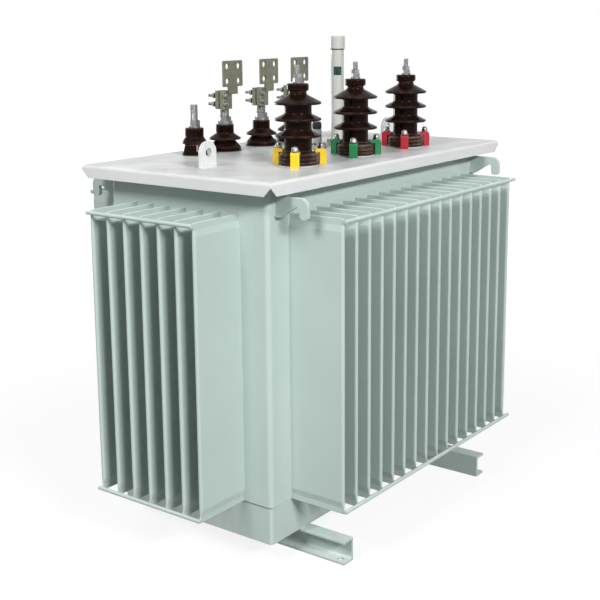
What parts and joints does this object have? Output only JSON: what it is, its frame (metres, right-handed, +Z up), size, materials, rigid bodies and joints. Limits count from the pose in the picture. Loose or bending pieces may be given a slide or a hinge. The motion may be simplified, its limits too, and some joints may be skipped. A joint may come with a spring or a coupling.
{
  "type": "power transformer",
  "caption": "Oil-filled power transformer: oblong tank with folded cooling fins, flat lid with brown porcelain bushings, oil gauge and lifting lugs, on two base channels.",
  "frame": {"origin": "middle of the plan, on the floor under the base channels", "axes": "+X along the long side, +Y from the high voltage side to the low voltage side, +Z up"},
  "size_m": [1.0846, 0.6916, 1.044],
  "materials": {
    "tank_paint": "satin",
    "lid_paint": "satin",
    "white_paint": "satin",
    "brown_porcelain": "gloss",
    "plated_steel": "satin",
    "tinned_terminal": "satin",
    "yellow_clamp_paint": "gloss",
    "green_clamp_paint": "gloss",
    "red_clamp_paint": "gloss",
    "black_plastic": "matte",
    "green_glass": "gloss"
  },
  "bodies": {
    "root": {"back_fin_bars": "tank_paint", "back_fin_wall": "tank_paint", "back_left_hook": "tank_paint", "back_right_hook": "tank_paint", "front_fin_bars": "tank_paint", "front_fin_wall": "tank_paint", "front_left_hook": "tank_paint", "front_right_hook": "tank_paint", "gauge_cap": "white_paint", "gauge_tube": "white_paint", "gauge_window": "green_glass", "green_hv_clamps": "green_clamp_paint", "green_hv_porcelain": "brown_porcelain", "green_hv_stud": "plated_steel", "left_base_channel": "tank_paint", "left_fin_bars": "tank_paint", "left_fin_wall": "tank_paint", "left_lid_lug": "lid_paint", "lid": "lid_paint", "lv_porcelain_a": "brown_porcelain", "lv_porcelain_b": "brown_porcelain", "lv_porcelain_c": "brown_porcelain", "lv_stud_a": "plated_steel", "lv_stud_b": "plated_steel", "lv_stud_c": "plated_steel", "lv_terminal_a": "tinned_terminal", "lv_terminal_b": "tinned_terminal", "lv_terminal_c": "tinned_terminal", "neutral_porcelain": "brown_porcelain", "neutral_stud": "plated_steel", "red_hv_clamps": "red_clamp_paint", "red_hv_porcelain": "brown_porcelain", "red_hv_stud": "plated_steel", "right_base_channel": "tank_paint", "right_fin_bars": "tank_paint", "right_fin_wall": "tank_paint", "right_lid_lug": "lid_paint", "tank_base": "tank_paint", "tank_rim": "tank_paint", "tap_changer_knob": "black_plastic", "tap_changer_post": "white_paint", "yellow_hv_clamps": "yellow_clamp_paint", "yellow_hv_porcelain": "brown_porcelain", "yellow_hv_stud": "plated_steel"}
  },
  "joints": []
}
